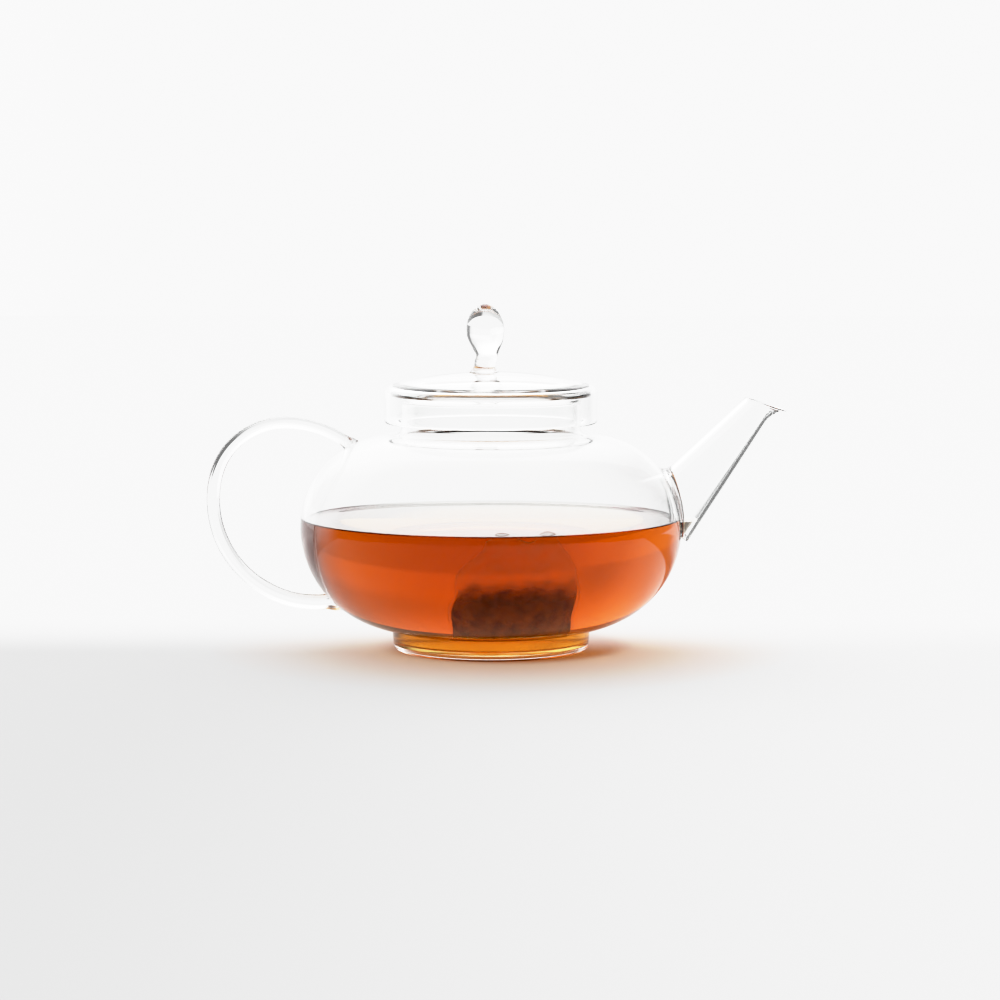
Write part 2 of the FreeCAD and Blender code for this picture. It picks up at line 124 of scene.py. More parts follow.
def arc(cx, cz, radius, start, end, step=2.0):
    """Points on an arc, from a start to an end angle in degrees, both ends included."""
    count = max(2, int(math.ceil(abs(end - start) / step)))
    angles = [math.radians(start + (end - start) * i / count) for i in range(count + 1)]
    return [(cx + radius * math.cos(a), cz + radius * math.sin(a)) for a in angles]


def run(start, end, step=2.5):
    """Points on a straight run, both ends included."""
    length = math.dist(start, end)
    count = max(1, int(math.ceil(length / step)))
    return [
        (start[0] + (end[0] - start[0]) * i / count, start[1] + (end[1] - start[1]) * i / count)
        for i in range(count + 1)
    ]


def joined(*stretches):
    """One list of points from several stretches, without repeats."""
    points = []
    for stretch in stretches:
        for p in stretch:
            if not points or math.dist(p, points[-1]) > 0.02:
                points.append(p)
    return points


def smooth_step(t):
    t = min(max(t, 0.0), 1.0)
    return t * t * (3 - 2 * t)


def new_object(name, verts, faces, smooth=True):
    mesh = bpy.data.meshes.new(name)
    mesh.from_pydata([tuple(v) for v in verts], [], faces)
    mesh.validate()
    mesh.polygons.foreach_set("use_smooth", [smooth] * len(mesh.polygons))
    mesh.update()
    obj = bpy.data.objects.new(name, mesh)
    bpy.context.scene.collection.objects.link(obj)
    return obj


def lathe(name, profile, segments=288, shift=None, wobble=None):
    """Turns a profile of (r, z) in millimetres round the Z axis.

    A profile that starts off the axis is closed into a ring. shift gives what a ring moves along X
    by its height, and wobble gives a point's new (r, z) by its angle, r and z.
    """
    verts, faces, rings = [], [], []
    for r, z in profile:
        dx = shift(z) if shift else 0.0
        if r < 1e-6:
            rings.append([len(verts)])
            verts.append((dx * MM, 0.0, z * MM))
            continue
        ring = []
        for k in range(segments):
            a = TURN * k / segments
            rr, zz = (r, z) if wobble is None else wobble(a, r, z)
            ring.append(len(verts))
            verts.append(((rr * math.cos(a) + dx) * MM, rr * math.sin(a) * MM, zz * MM))
        rings.append(ring)
    pairs = list(zip(rings[:-1], rings[1:]))
    if len(rings[0]) > 1:
        pairs.append((rings[-1], rings[0]))
    for one, two in pairs:
        for k in range(segments):
            n = (k + 1) % segments
            if len(one) == 1 and len(two) == 1:
                break
            if len(one) == 1:
                faces.append((one[0], two[n], two[k]))
            elif len(two) == 1:
                faces.append((one[k], one[n], two[0]))
            else:
                faces.append((one[k], one[n], two[n], two[k]))
    obj = new_object(name, verts, faces)
    outward(obj)
    return obj


def volume_of(mesh):
    """A closed mesh's volume, negative when its faces look inwards."""
    mesh.calc_loop_triangles()
    co = np.empty(len(mesh.vertices) * 3)
    mesh.vertices.foreach_get("co", co)
    co = co.reshape(-1, 3)
    tri = np.array([t.vertices[:] for t in mesh.loop_triangles])
    a, b, c = co[tri[:, 0]], co[tri[:, 1]], co[tri[:, 2]]
    return float(np.einsum("ij,ij->i", a, np.cross(b, c)).sum() / 6)


def outward(obj):
    """Turns a closed mesh's faces outwards."""
    if volume_of(obj.data) < 0:
        obj.data.flip_normals()
        obj.data.update()


def grid_tube(name, rings, closed=False):
    """A skin over rings that all have the same number of points, closed round or capped."""
    count = len(rings[0])
    verts = [p for ring in rings for p in ring]
    faces = []
    total = len(rings)
    for i in range(total if closed else total - 1):
        j = (i + 1) % total
        for k in range(count):
            n = (k + 1) % count
            faces.append((i * count + k, i * count + n, j * count + n, j * count + k))
    if not closed:
        faces.append(tuple(range(count - 1, -1, -1)))
        faces.append(tuple(range((total - 1) * count, total * count)))
    obj = new_object(name, verts, faces)
    outward(obj)
    return obj


def normals_of(mesh):
    """A tree of a mesh's points and their smooth normals."""
    tree = kdtree.KDTree(len(mesh.vertices))
    for v in mesh.vertices:
        tree.insert(v.co, v.index)
    tree.balance()
    return tree, [v.normal.copy() for v in mesh.vertices]


SAME_WAY = 0.85
NEARBY = 0.5


def carve(obj, tool, operation="DIFFERENCE"):
    """Cuts obj with a tool, or joins them, and keeps the smooth normals that both had before."""
    sources = [normals_of(obj.data), normals_of(tool.data)]
    mod = obj.modifiers.new("carve", "BOOLEAN")
    mod.operation = operation
    mod.solver = "EXACT"
    mod.object = tool
    deps = bpy.context.evaluated_depsgraph_get()
    mesh = bpy.data.meshes.new_from_object(obj.evaluated_get(deps))
    obj.modifiers.clear()
    old = obj.data
    obj.data = mesh
    mesh.name = obj.name
    bpy.data.meshes.remove(old)
    restore_normals(mesh, sources)
    return obj


def restore_normals(mesh, sources):
    """Gives each corner the normal of the nearest old point that looks the way its face does."""
    normals = [None] * len(mesh.loops)
    nearest = {}
    for poly in mesh.polygons:
        poly.use_smooth = True
        face = poly.normal
        for li in poly.loop_indices:
            vi = mesh.loops[li].vertex_index
            if vi not in nearest:
                co = mesh.vertices[vi].co
                nearest[vi] = [(tree.find(co), normal) for tree, normal in sources]
            best, least = None, math.inf
            for (_, index, distance), source in nearest[vi]:
                lined = source[index].dot(face)
                cost = distance + (0.0 if abs(lined) > SAME_WAY else 1.0)
                if cost < least:
                    least = cost
                    best = source[index] if lined > 0 else -source[index]
            normals[li] = best if least < NEARBY else face.copy()
    mesh.normals_split_custom_set([tuple(n) for n in normals])


def drop(*objs):
    for o in objs:
        mesh = o.data
        bpy.data.objects.remove(o)
        bpy.data.meshes.remove(mesh)


# ---------------------------------------------------------------- materials

def new_material(name):
    mat = bpy.data.materials.new(name)
    mat.use_nodes = True
    tree = mat.node_tree
    tree.nodes.clear()
    out = tree.nodes.new("ShaderNodeOutputMaterial")
    return mat, tree, out


def add(tree, kind, **values):
    node = tree.nodes.new(kind)
    for key, value in values.items():
        if key in node.inputs:
            node.inputs[key].default_value = value
        else:
            setattr(node, key, value)
    return node


def soft_range(tree, value, start, end, low=0.0, high=1.0):
    """Rises smoothly from low to high as a value goes from start to end."""
    soft = add(tree, "ShaderNodeMapRange", interpolation_type="SMOOTHSTEP")
    soft.inputs["From Min"].default_value = start
    soft.inputs["From Max"].default_value = end
    soft.inputs["To Min"].default_value = low
    soft.inputs["To Max"].default_value = high
    tree.links.new(value, soft.inputs["Value"])
    return soft.outputs["Result"]


def combine(tree, operation, one, two):
    """A sum, a product and so on of two values, either of which may be a plain number."""
    node = add(tree, "ShaderNodeMath", operation=operation)
    for socket, value in zip(node.inputs, (one, two)):
        if isinstance(value, (int, float)):
            socket.default_value = value
        else:
            tree.links.new(value, socket)
    return node.outputs["Value"]


def facing(tree, direction, vector):
    """The cosine between a direction and a vector."""
    dot = add(tree, "ShaderNodeVectorMath", operation="DOT_PRODUCT")
    dot.inputs[1].default_value = Vector(vector).normalized()
    tree.links.new(direction, dot.inputs[0])
    return dot.outputs["Value"]


def clear_bsdf(tree, ior, colour=(1.0, 1.0, 1.0, 1)):
    """A smooth surface that light goes through and bends at."""
    bsdf = add(tree, "ShaderNodeBsdfPrincipled", Roughness=0.0, IOR=ior)
    bsdf.inputs["Base Color"].default_value = colour
    bsdf.inputs["Transmission Weight"].default_value = 1.0
    return bsdf


GLASS_IOR = 1.47
TEA_IOR = 1.333
TEA_DENSITY = 68.0
TEA_COLOUR = (0.892, 0.672, 0.32, 1)
TEA_LIGHT_TINT = (0.91, 0.82, 0.60, 1)


def glass_material():
    """Clear borosilicate glass with the faint streaks of drawn tube."""
    mat, tree, out = new_material("clear_glass")
    link = tree.links.new
    bsdf = clear_bsdf(tree, GLASS_IOR, (0.992, 0.995, 0.993, 1))
    bsdf.inputs["Specular Tint"].default_value = (0.4, 0.4, 0.4, 1)
    where = add(tree, "ShaderNodeTexCoord")
    stretch = add(tree, "ShaderNodeMapping")
    stretch.inputs["Scale"].default_value = (1.0, 1.0, 0.35)
    streaks = add(tree, "ShaderNodeTexNoise", Scale=42.0, Detail=2.0, Roughness=0.45)
    bump = add(tree, "ShaderNodeBump", Strength=0.12, Distance=0.00035)
    link(where.outputs["Object"], stretch.inputs["Vector"])
    link(stretch.outputs["Vector"], streaks.inputs["Vector"])
    link(streaks.outputs["Fac"], bump.inputs["Height"])
    link(bump.outputs["Normal"], bsdf.inputs["Normal"])
    link(bsdf.outputs["BSDF"], out.inputs["Surface"])
    return mat


def joint_material(name, colour=(1, 1, 1, 1)):
    """A face inside one body of glass, or between glass and the tea that wets it: no reflection."""
    mat, tree, out = new_material(name)
    bsdf = add(tree, "ShaderNodeBsdfTransparent", Color=colour)
    tree.links.new(bsdf.outputs["BSDF"], out.inputs["Surface"])
    return mat


def tea_material():
    """Black tea: clear, and amber by its depth. Its open surface meets air, its sides meet glass."""
    mat, tree, out = new_material("tea")
    link = tree.links.new
    surface = clear_bsdf(tree, TEA_IOR)
    side = clear_bsdf(tree, TEA_IOR / GLASS_IOR)
    where = add(tree, "ShaderNodeAttribute", attribute_name="open")
    mix = add(tree, "ShaderNodeMixShader")
    absorb = add(tree, "ShaderNodeVolumeAbsorption", Density=TEA_DENSITY)
    absorb.inputs["Color"].default_value = TEA_COLOUR
    link(where.outputs["Fac"], mix.inputs["Fac"])
    link(side.outputs["BSDF"], mix.inputs[1])
    link(surface.outputs["BSDF"], mix.inputs[2])
    link(mix.outputs["Shader"], out.inputs["Surface"])
    link(absorb.outputs["Volume"], out.inputs["Volume"])
    return mat


GLASS = glass_material()
# Painted tea light: the ring's weld is tinted amber, so that the foot ring looks lit by light that has
# come down through the tea.
WELD_TEA_LIT = joint_material("welded_glass", TEA_LIGHT_TINT)
WETTED = joint_material("wetted_glass")
TEA = tea_material()


def finish_piece(obj, materials, body, slot, *nodes):
    """Gives a piece its materials, in the order of its faces' material numbers, and its body."""
    kept = [poly.material_index for poly in obj.data.polygons]
    obj.data.materials.clear()
    for material in materials if isinstance(materials, tuple) else (materials,):
        obj.data.materials.append(material)
    last = len(obj.data.materials) - 1
    obj.data.polygons.foreach_set("material_index", [min(k, last) for k in kept])
    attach(obj, body)
    if nodes:
        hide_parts(*nodes)
    return obj


# ---------------------------------------------------------------- the bowl

def shell(inset, step=2.0):
    """The bowl's half outline from the bottom's middle to the neck, an inset inside its skin.

    The bottom is sunk into the foot ring. There are points where the ring's weld starts and ends,
    and at the top of the wetted glass.
    """
    low_r, high_r = LOW_ARC - inset, HIGH_ARC - inset
    well_r, corner = LOW_C[0] - inset, BASE_ROUND - inset
    weld_in = -math.degrees(math.acos(min((FOOT_IN - LOW_C[0] + BASE_ROUND) / corner, 1.0)))
    weld_out = -90 + math.degrees(math.asin((FOOT_OUT - LOW_C[0]) / low_r))
    wet = math.degrees(math.asin((TEA_Z + MENISCUS - EQUATOR_Z) / high_r))
    corner_at = (LOW_C[0] - BASE_ROUND, BASE_Z + BASE_ROUND, corner)
    seam = EQUATOR_Z - LOW_ARC
    return joined(
        run((0.0, BASE_Z + inset), (corner_at[0], BASE_Z + inset), 3.0),
        arc(*corner_at, -90, weld_in, 8),
        arc(*corner_at, weld_in, 0, 8),
        run((well_r, corner_at[1]), (well_r, seam), 1.2),
        arc(LOW_C[0], seam, inset, 180, 90, 10) if inset > 0.01 else [],
        arc(*LOW_C, low_r, -90, weld_out, step),
        arc(*LOW_C, low_r, weld_out, 0, step),
        arc(*HIGH_C, high_r, 0, wet, step),
        arc(*HIGH_C, high_r, wet, 90, step),
        arc(NECK_R + FILLET, SHOULDER_Z + FILLET, FILLET + inset, 270, 180, 6),
    )


def wall_radius(z, inset):
    """The radius of the bowl's outline at a height, an inset inside its skin."""
    centre, radius = (LOW_C, LOW_ARC) if z < EQUATOR_Z else (HIGH_C, HIGH_ARC)
    rise = min(abs(z - EQUATOR_Z), radius - inset)
    return centre[0] + math.sqrt((radius - inset) ** 2 - rise**2)


def bowl_gap(x, z, y):
    """Signed distance in millimetres from the bowl's outer skin, positive outside."""
    r = math.hypot(x, y)
    if z > EQUATOR_Z:
        return math.hypot(max(r - HIGH_C[0], 0.0), z - HIGH_C[1]) - HIGH_ARC
    body = math.hypot(max(r - LOW_C[0], 0.0), z - LOW_C[1]) - LOW_ARC
    side = r - LOW_C[0] + BASE_ROUND
    under = BASE_Z + BASE_ROUND - z
    well = math.hypot(max(side, 0.0), max(under, 0.0)) + min(max(side, under), 0.0) - BASE_ROUND
    return min(body, well)


def bowl_profile():
    """The bowl's whole wall: outside up to the flared rim, over its lip and down inside."""
    half = RIM_T / 2
    edge = RIM_R - half
    flare = edge - NECK_R
    under = RIM_Z - RIM_T
    outside = joined(
        shell(0.0),
        run((NECK_R, SHOULDER_Z + FILLET), (NECK_R, under - flare)),
        arc(edge, under - flare, flare, 180, 90, 9),
        arc(edge, RIM_Z - half, half, -90, 90, 12),
    )
    lip = joined(
        run((edge, RIM_Z), (MOUTH_R + FILLET, RIM_Z), 1.0),
        arc(MOUTH_R + FILLET, RIM_Z - FILLET, FILLET, 90, 180, 9),
        run((MOUTH_R, RIM_Z - FILLET), (MOUTH_R, SHOULDER_Z + FILLET)),
    )
    inside = shell(WALL)[::-1]
    return joined(outside, lip, inside)


def hand_made(amount):
    """Slow, shallow waves of hand-blown glass, flat at the middle, amount millimetres deep."""
    def wave(a, r, z):
        w = (
            math.sin(3 * a + 0.05 * z + 0.7)
            + 0.6 * math.sin(5 * a - 0.09 * z + 2.1)
            + 0.4 * math.sin(9 * a + 0.13 * z)
        )
        fade = min(1.0, r / 30.0)
        return r + amount * fade * w, z

    return wave


def cone_radius(along):
    """The spout's outside radius, at a distance along its axis from the middle of its mouth."""
    return SPOUT_END_R - along * SPOUT_SLOPE


def spout_point(along, up, side):
    """A point by its distance along the spout's axis, up across it and sideways."""
    c, s = math.cos(SPOUT_TILT), math.sin(SPOUT_TILT)
    return (
        (SPOUT_END[0] + along * c - up * s) * MM,
        side * MM,
        (SPOUT_END[1] + along * s + up * c) * MM,
    )


def spout_ring(along, radius_at):
    """A ring square to the spout's axis, with a radius for each angle from the axis's upper side."""
    ring = []
    for k in range(SPOUT_SIDES):
        a = TURN * k / SPOUT_SIDES
        r = radius_at(a)
        ring.append(spout_point(along, r * math.cos(a), r * math.sin(a)))
    return ring


def spout_cone(name, inset, start, end, steps=30):
    """A solid cone, an inset inside the spout's skin, between two distances along its axis."""
    rings = []
    for i in range(steps + 1):
        along = start + (end - start) * i / steps
        rings.append(spout_ring(along, lambda a: cone_radius(along) - inset))
    return grid_tube(name, rings)


def make_bowl():
    """The bowl. Where tea wets it, its skin isn't seen. Where the foot ring is fused on, its skin isn't
    seen either, but tints what lies behind it amber: painted light that came through the tea.
    """
    bowl = lathe("bowl_glass", bowl_profile())
    drill = spout_cone("drill", SPOUT_WALL, -60.0, -20.0)
    carve(bowl, drill)
    drop(drill)
    for poly in bowl.data.polygons:
        x, y, z = (v / MM for v in poly.center)
        r = math.hypot(x, y)
        inside = bowl_gap(x, z, y) < -WALL / 2
        if inside and z < TEA_Z + MENISCUS and r < wall_radius(z, WALL / 2):
            poly.material_index = 2
        elif not inside and z < FOOT_WELD_TOP and FOOT_IN < r < FOOT_OUT:
            poly.material_index = 1
    return finish_piece(bowl, (GLASS, WELD_TEA_LIT, WETTED), "pot", "clear_glass", "bowl")


def make_core():
    """The bowl's form less the weld depth, which fused pieces are cut back to."""
    neck = NECK_R - WELD
    outline = joined(shell(WELD), run((neck, SHOULDER_Z + FILLET), (neck, RIM_Z)), [(0.0, RIM_Z)])
    return lathe("core", outline)


# ---------------------------------------------------------------- the foot ring

def make_foot():
    """The foot ring round the sunk bottom, thickened into the bowl at the top of its weld."""
    tip = FOOT_OUT - FOOT_TOP_R
    low = FOOT_TOP_R - tip
    inner_round, outer_round = 0.8, 1.6
    top = EQUATOR_Z - math.sqrt(LOW_ARC**2 - (FOOT_OUT - LOW_C[0]) ** 2)
    sink = 0.05
    weld = [
        (r, z) for r, z in shell(sink, 1.0)
        if FOOT_IN - 0.01 <= r <= FOOT_OUT + 0.01 and z < FOOT_WELD_TOP
    ]
    profile = joined(
        run(weld[0], (FOOT_IN, inner_round), 0.5),
        arc(FOOT_IN + inner_round, inner_round, inner_round, 180, 270, 12),
        run((FOOT_IN + inner_round, 0.0), (low - outer_round, 0.0), 0.5),
        arc(low - outer_round, outer_round, outer_round, 270, 360, 8),
        run((low, outer_round), (FOOT_TOP_R, top - tip), 1.0),
        arc(FOOT_OUT, top - tip, tip, 180, 105, 14),
        weld[::-1],
    )
    ring = lathe("foot_ring_glass", profile)
    # The weld faces tint what lies behind them amber: painted light that came through the tea.
    for poly in ring.data.polygons:
        x, y, z = (v / MM for v in poly.center)
        if bowl_gap(x, z, y) < -0.5 * sink:
            poly.material_index = 1
    return finish_piece(ring, (GLASS, WELD_TEA_LIT), "pot", "clear_glass", "foot_ring")


# ---------------------------------------------------------------- the spout

# The mouth's sections, towards its edge: the upper and the lower point, each along the axis and up
# across it, and half the width. The lower side curls down into a pouring lip.
LIP = [
    ((-4.0, 7.13), (-4.0, -7.13), 7.13),
    ((-3.0, 6.95), (-2.0, -6.92), 6.95),
    ((-2.2, 6.78), (0.2, -6.98), 6.85),
    ((-1.5, 6.66), (2.6, -7.35), 6.88),
    ((-0.9, 6.60), (4.7, -8.25), 6.98),
    ((-0.7, 6.58), (6.25, -10.45), 7.15),
]
LIP_STEPS = 5
SPOUT_ROOT = -62.0
ROOT_REACH = 4.0


def lip_section(upper, lower, half_wide, inset):
    """A slanted oval near the mouth, from its upper and lower point, an inset inside the skin."""
    length = math.dist(upper, lower)
    half = length / 2 - inset
    middle = [(a + b) / 2 for a, b in zip(upper, lower)]
    slant = [(a - b) / length for a, b in zip(upper, lower)]
    ring = []
    for k in range(SPOUT_SIDES):
        a = TURN * k / SPOUT_SIDES
        d = half * math.cos(a)
        side = (half_wide - inset) * math.sin(a)
        ring.append(spout_point(middle[0] + slant[0] * d, middle[1] + slant[1] * d, side))
    return ring


def lip_sections(inset):
    """The ovals from the end of the cone to just before the mouth's edge."""
    rings = []
    for (up_0, low_0, wide_0), (up_1, low_1, wide_1) in zip(LIP[:-1], LIP[1:]):
        for j in range(LIP_STEPS):
            t = j / LIP_STEPS
            upper = [a * (1 - t) + b * t for a, b in zip(up_0, up_1)]
            lower = [a * (1 - t) + b * t for a, b in zip(low_0, low_1)]
            rings.append(lip_section(upper, lower, wide_0 * (1 - t) + wide_1 * t, inset))
    return rings


def lip_edge(steps=8, fullness=0.55):
    """The melted edge of the mouth, from outside over to inside."""
    radius = SPOUT_WALL / 2
    ahead = Vector(spout_point(1, 0.4, 0)) - Vector(spout_point(0, 0, 0))
    ahead.normalize()
    rings = []
    for q in range(steps + 1):
        b = math.pi * q / steps
        lift = ahead * (radius * math.sin(b) * fullness * MM)
        ring = lip_section(*LIP[-1], radius - radius * math.cos(b))
        rings.append([tuple(Vector(p) + lift) for p in ring])
    return rings


def root_radius(along, a):
    """The spout's outside radius at an angle, with its swelling into the bowl, fuller above."""
    r = cone_radius(along)
    x, y, z = spout_point(along, r * math.cos(a), r * math.sin(a))
    gap = bowl_gap(x / MM, z / MM, y / MM)
    reach = ROOT_REACH * (0.55 + 0.45 * math.cos(a))
    if reach <= 0.3 or gap >= reach:
        return r
    swell = reach - math.sqrt(max(reach**2 - (reach - max(gap, 0.0)) ** 2, 0.0))
    return r + min(swell, 0.9 * reach)


def make_spout(core):
    outer, inner = [], []
    along = SPOUT_ROOT
    while along < LIP[0][0][0] - 0.6:
        outer.append(spout_ring(along, lambda a: root_radius(along, a)))
        inner.append(spout_ring(along, lambda a: cone_radius(along) - SPOUT_WALL))
        along += 0.5 if -50 <= along <= -20 else 1.0
    rings = outer + lip_sections(0.0) + lip_edge() + lip_sections(SPOUT_WALL)[::-1] + inner[::-1]
    spout = grid_tube("spout_glass", rings, closed=True)
    carve(spout, core)
    return finish_piece(spout, GLASS, "pot", "clear_glass", "spout")


# ---------------------------------------------------------------- the handle

CROWN = (-86.2, 95.1)
ARM, BACK, TAIL = (44.3, 35.2), (29.9, 77.9), (43.0, 106.6)
BURIED = 8
ROD_R = (2.3, 3.3)
FLUTES = 11
FLUTE_DEPTH = 0.02


def bend(centre, radius, start, end, steps):
    """Points on an arc with their headings in degrees below the -X direction, both ends included."""
    points = []
    for i in range(steps + 1):
        h = start + (end - start) * i / steps
        turn = math.radians(h)
        points.append((centre[0] - radius * math.sin(turn), centre[1] + radius * math.cos(turn), h))
    return points


def ahead_of(point, distance):
    """A point straight on from another, or back from it."""
    x, z, h = point
    turn = math.radians(h)
    return x - distance * math.cos(turn), z - distance * math.sin(turn), h


def handle_line():
    """The rod's centre line: three arcs, each with its radius and turn, and a run into the glass.

    It goes from the upper joint over the crown and down to the lower one.
    """
    top = (CROWN[0], CROWN[1] - ARM[0])
    middle = (CROWN[0], CROWN[1] - BACK[0])
    turn = math.radians(BACK[1])
    low = (
        middle[0] + (TAIL[0] - BACK[0]) * math.sin(turn),
        middle[1] - (TAIL[0] - BACK[0]) * math.cos(turn),
    )
    arm = bend(top, ARM[0], -ARM[1], 0.0, 30)
    back = bend(middle, BACK[0], 0.0, BACK[1], 44)
    tail = bend(low, TAIL[0], BACK[1], BACK[1] + TAIL[1], 80)
    before = [ahead_of(arm[0], -i) for i in range(BURIED, 0, -1)]
    after = [ahead_of(tail[-1], i) for i in range(1, BURIED + 1)]
    return before + arm[:-1] + back[:-1] + tail + after


def make_handle(core, sides=154):
    """The drawn rod, swollen at its joints. Its skin has the faint flutes of drawing along it."""
    points = handle_line()
    rings = []
    for i, (x, z, h) in enumerate(points):
        t = i / (len(points) - 1)
        r = ROD_R[0] + (ROD_R[1] - ROD_R[0]) * t
        r *= 1 + 0.012 * math.sin(17 * t + 0.4) + 0.008 * math.sin(41 * t)
        r += 0.9 * max(0.0, 1 - max(bowl_gap(x, z, 0.0), 0.0) / 3.5) ** 2
        turn = math.radians(h)
        ring = []
        for k in range(sides):
            b = TURN * k / sides
            flute = 1 + FLUTE_DEPTH * math.cos(FLUTES * b + 0.9)
            u = r * flute * math.cos(b)
            v = r * flute * 1.03 * math.sin(b)
            ring.append(((x - u * math.sin(turn)) * MM, v * MM, (z + u * math.cos(turn)) * MM))
        rings.append(ring)
    rod = grid_tube("handle_glass", rings)
    carve(rod, core)
    return finish_piece(rod, GLASS, "pot", "clear_glass", "handle")


# ---------------------------------------------------------------- the lid

def dome(radius, rise, top, step=2.5):
    """A shallow dome from its middle to its edge."""
    big = (radius**2 + rise**2) / (2 * rise)
    count = int(radius / step)
    points = []
    for i in range(count + 1):
        r = radius * i / count
        points.append((r, top - big + math.sqrt(big**2 - r**2)))
    return points


def lid_profile():
    """The cap's wall: over the top, down the skirt, round its edge and back up inside."""
    corner, edge, fillet = 3.8, 0.9, 1.9
    inner = LID_R - WALL
    ceiling_r = MOUTH_R + FILLET
    return joined(
        dome(LID_R - corner, DOME, LID_TOP),
        arc(LID_R - corner, SEAT_Z + WALL - corner, corner, 84, 0, 7),
        run((LID_R, SEAT_Z + WALL - corner), (LID_R, SKIRT_Z + edge), 2.0),
        arc(LID_R - edge, SKIRT_Z + edge, edge, 0, -90, 12),
        arc(inner + edge, SKIRT_Z + edge, edge, 270, 180, 12),
        run((inner, SKIRT_Z + edge), (inner, SEAT_Z - fillet), 2.0),
        arc(inner - fillet, SEAT_Z - fillet, fillet, 0, 90, 12),
        run((inner - fillet, SEAT_Z), (ceiling_r, SEAT_Z), 0.8),
        dome(ceiling_r, DOME, SEAT_Z + DOME)[::-1],
    )


def make_lid():
    lid = lathe("lid_cap_glass", lid_profile(), wobble=hand_made(HAND_MADE))
    return finish_piece(lid, GLASS, "lid", "clear_glass", "lid_cap")


# The knob's outline as radius and height over the lid's top, and how far it leans along X by height.
KNOB_SHAPE = [
    (4.9, 1.3), (4.62, 2.1), (4.62, 3.9), (4.7, 4.9), (4.55, 6.1), (4.75, 7.4), (5.35, 8.8),
    (6.35, 10.9), (7.25, 13.1), (7.75, 15.3), (7.95, 17.6), (7.85, 19.3), (7.55, 20.9), (6.95, 22.6),
    (6.3, 23.9), (5.45, 25.2), (4.4, 26.3), (3.2, 27.3), (1.8, 28.0), (0.9, 28.23),
]
KNOB_LEAN = [(-4.3, -0.35), (1.5, -0.3), (4.4, 0.25), (6.7, 0.85), (10.7, 0.55), (15.3, 0.15), (33.7, 0.0)]


def spline(points, fine):
    """A smooth curve through points."""
    pts = [points[0]] + list(points) + [points[-1]]
    out = []
    for i in range(1, len(pts) - 2):
        p0, p1, p2, p3 = pts[i - 1], pts[i], pts[i + 1], pts[i + 2]
        for j in range(fine):
            t = j / fine
            out.append(tuple(
                0.5 * (2 * b + (c - a) * t + (2 * a - 5 * b + 4 * c - d) * t * t
                       + (3 * b - a - 3 * c + d) * t**3)
                for a, b, c, d in zip(p0, p1, p2, p3)
            ))
    out.append(tuple(points[-1]))
    return out


def between(table, z):
    """A value by height, eased from row to row of a table."""
    for (z0, v0), (z1, v1) in zip(table[:-1], table[1:]):
        if z <= z1:
            return v0 + (v1 - v0) * smooth_step((z - z0) / (z1 - z0))
    return table[-1][1]


def make_knob():
    """The solid drop with its stem, melted into the lid's dome."""
    melted = [(0.0, -1.2), (3.0, -1.2), (6.2, -1.2), (6.4, -0.25), (6.0, 0.15), (5.45, 0.6)]
    outline = joined(melted, spline(KNOB_SHAPE, 4), [(0.0, KNOB_TOP - LID_TOP)])
    knob = lathe(
        "lid_knob_glass", [(r, LID_TOP + z) for r, z in outline], segments=128,
        shift=lambda z: KNOB_X + between(KNOB_LEAN, z - LID_TOP),
    )
    reach = 30.0
    cap = dome(reach, DOME * (reach / 42.0) ** 2, LID_TOP - WELD)
    core = lathe("lid_core", joined(cap, [(reach, SEAT_Z), (0.0, SEAT_Z)]))
    carve(knob, core)
    drop(core)
    return finish_piece(knob, GLASS, "lid", "clear_glass", "lid_knob")


# ---------------------------------------------------------------- the tea

def tea_outline():
    """The tea's sides up to the top of its creep, and its surface from there to the middle."""
    inset = WALL - SINK
    top = TEA_Z + MENISCUS
    edge = wall_radius(top, inset)
    creep_end = math.degrees(math.asin((top - EQUATOR_Z) / (HIGH_ARC - inset)))
    side = joined(
        [p for p in shell(inset, 1.5) if p[1] <= EQUATOR_Z],
        arc(*HIGH_C, HIGH_ARC - inset, 0, creep_end, 0.6),
    )
    surface, d = [], 0.0
    while d < 13:
        d += 0.16 + d * 0.12
        surface.append((edge - d, TEA_Z + MENISCUS * math.exp(-d / 1.45)))
    level_from = surface.pop()[0]
    return joined(side, surface, [(level_from, TEA_Z)], run((level_from - 2.0, TEA_Z), (0.0, TEA_Z), 3.0))


def level_at_spout(a, r, z):
    """Levels the creeping edge in front of the spout."""
    if z <= TEA_Z:
        return r, z
    away = min(a, TURN - a) * BODY_R
    level = TEA_Z + (z - TEA_Z) * smooth_step((away - 10.0) / 4.0)
    at_wall = r > wall_radius(TEA_Z + MENISCUS, WALL - SINK) - 1e-6
    return (wall_radius(level, WALL - SINK) if at_wall else r), level


def box(name, low, high):
    """A plain box between two corners in millimetres."""
    (x0, x1), (y0, y1), (z0, z1) = ((a * MM, b * MM) for a, b in zip(low, high))
    verts = [(x, y, z) for z in (z0, z1) for x, y in ((x0, y0), (x1, y0), (x1, y1), (x0, y1))]
    sides = [(k, (k + 1) % 4, (k + 1) % 4 + 4, k + 4) for k in range(4)]
    return new_object(name, verts, [(0, 3, 2, 1), (4, 5, 6, 7)] + sides, smooth=False)


def make_spout_tea():
    """The tea in the root of the spout, cut off at the tea's level."""
    wedge = spout_cone("wedge", SPOUT_WALL - SINK, -60.0, -30.0)
    air = box("air", (0, -60, TEA_Z), (200, 60, TEA_Z + 80))
    carve(wedge, air)
    drop(air)
    for poly in wedge.data.polygons:
        poly.material_index = 1 if poly.center.z > (TEA_Z - 0.01) * MM else 0
    return wedge


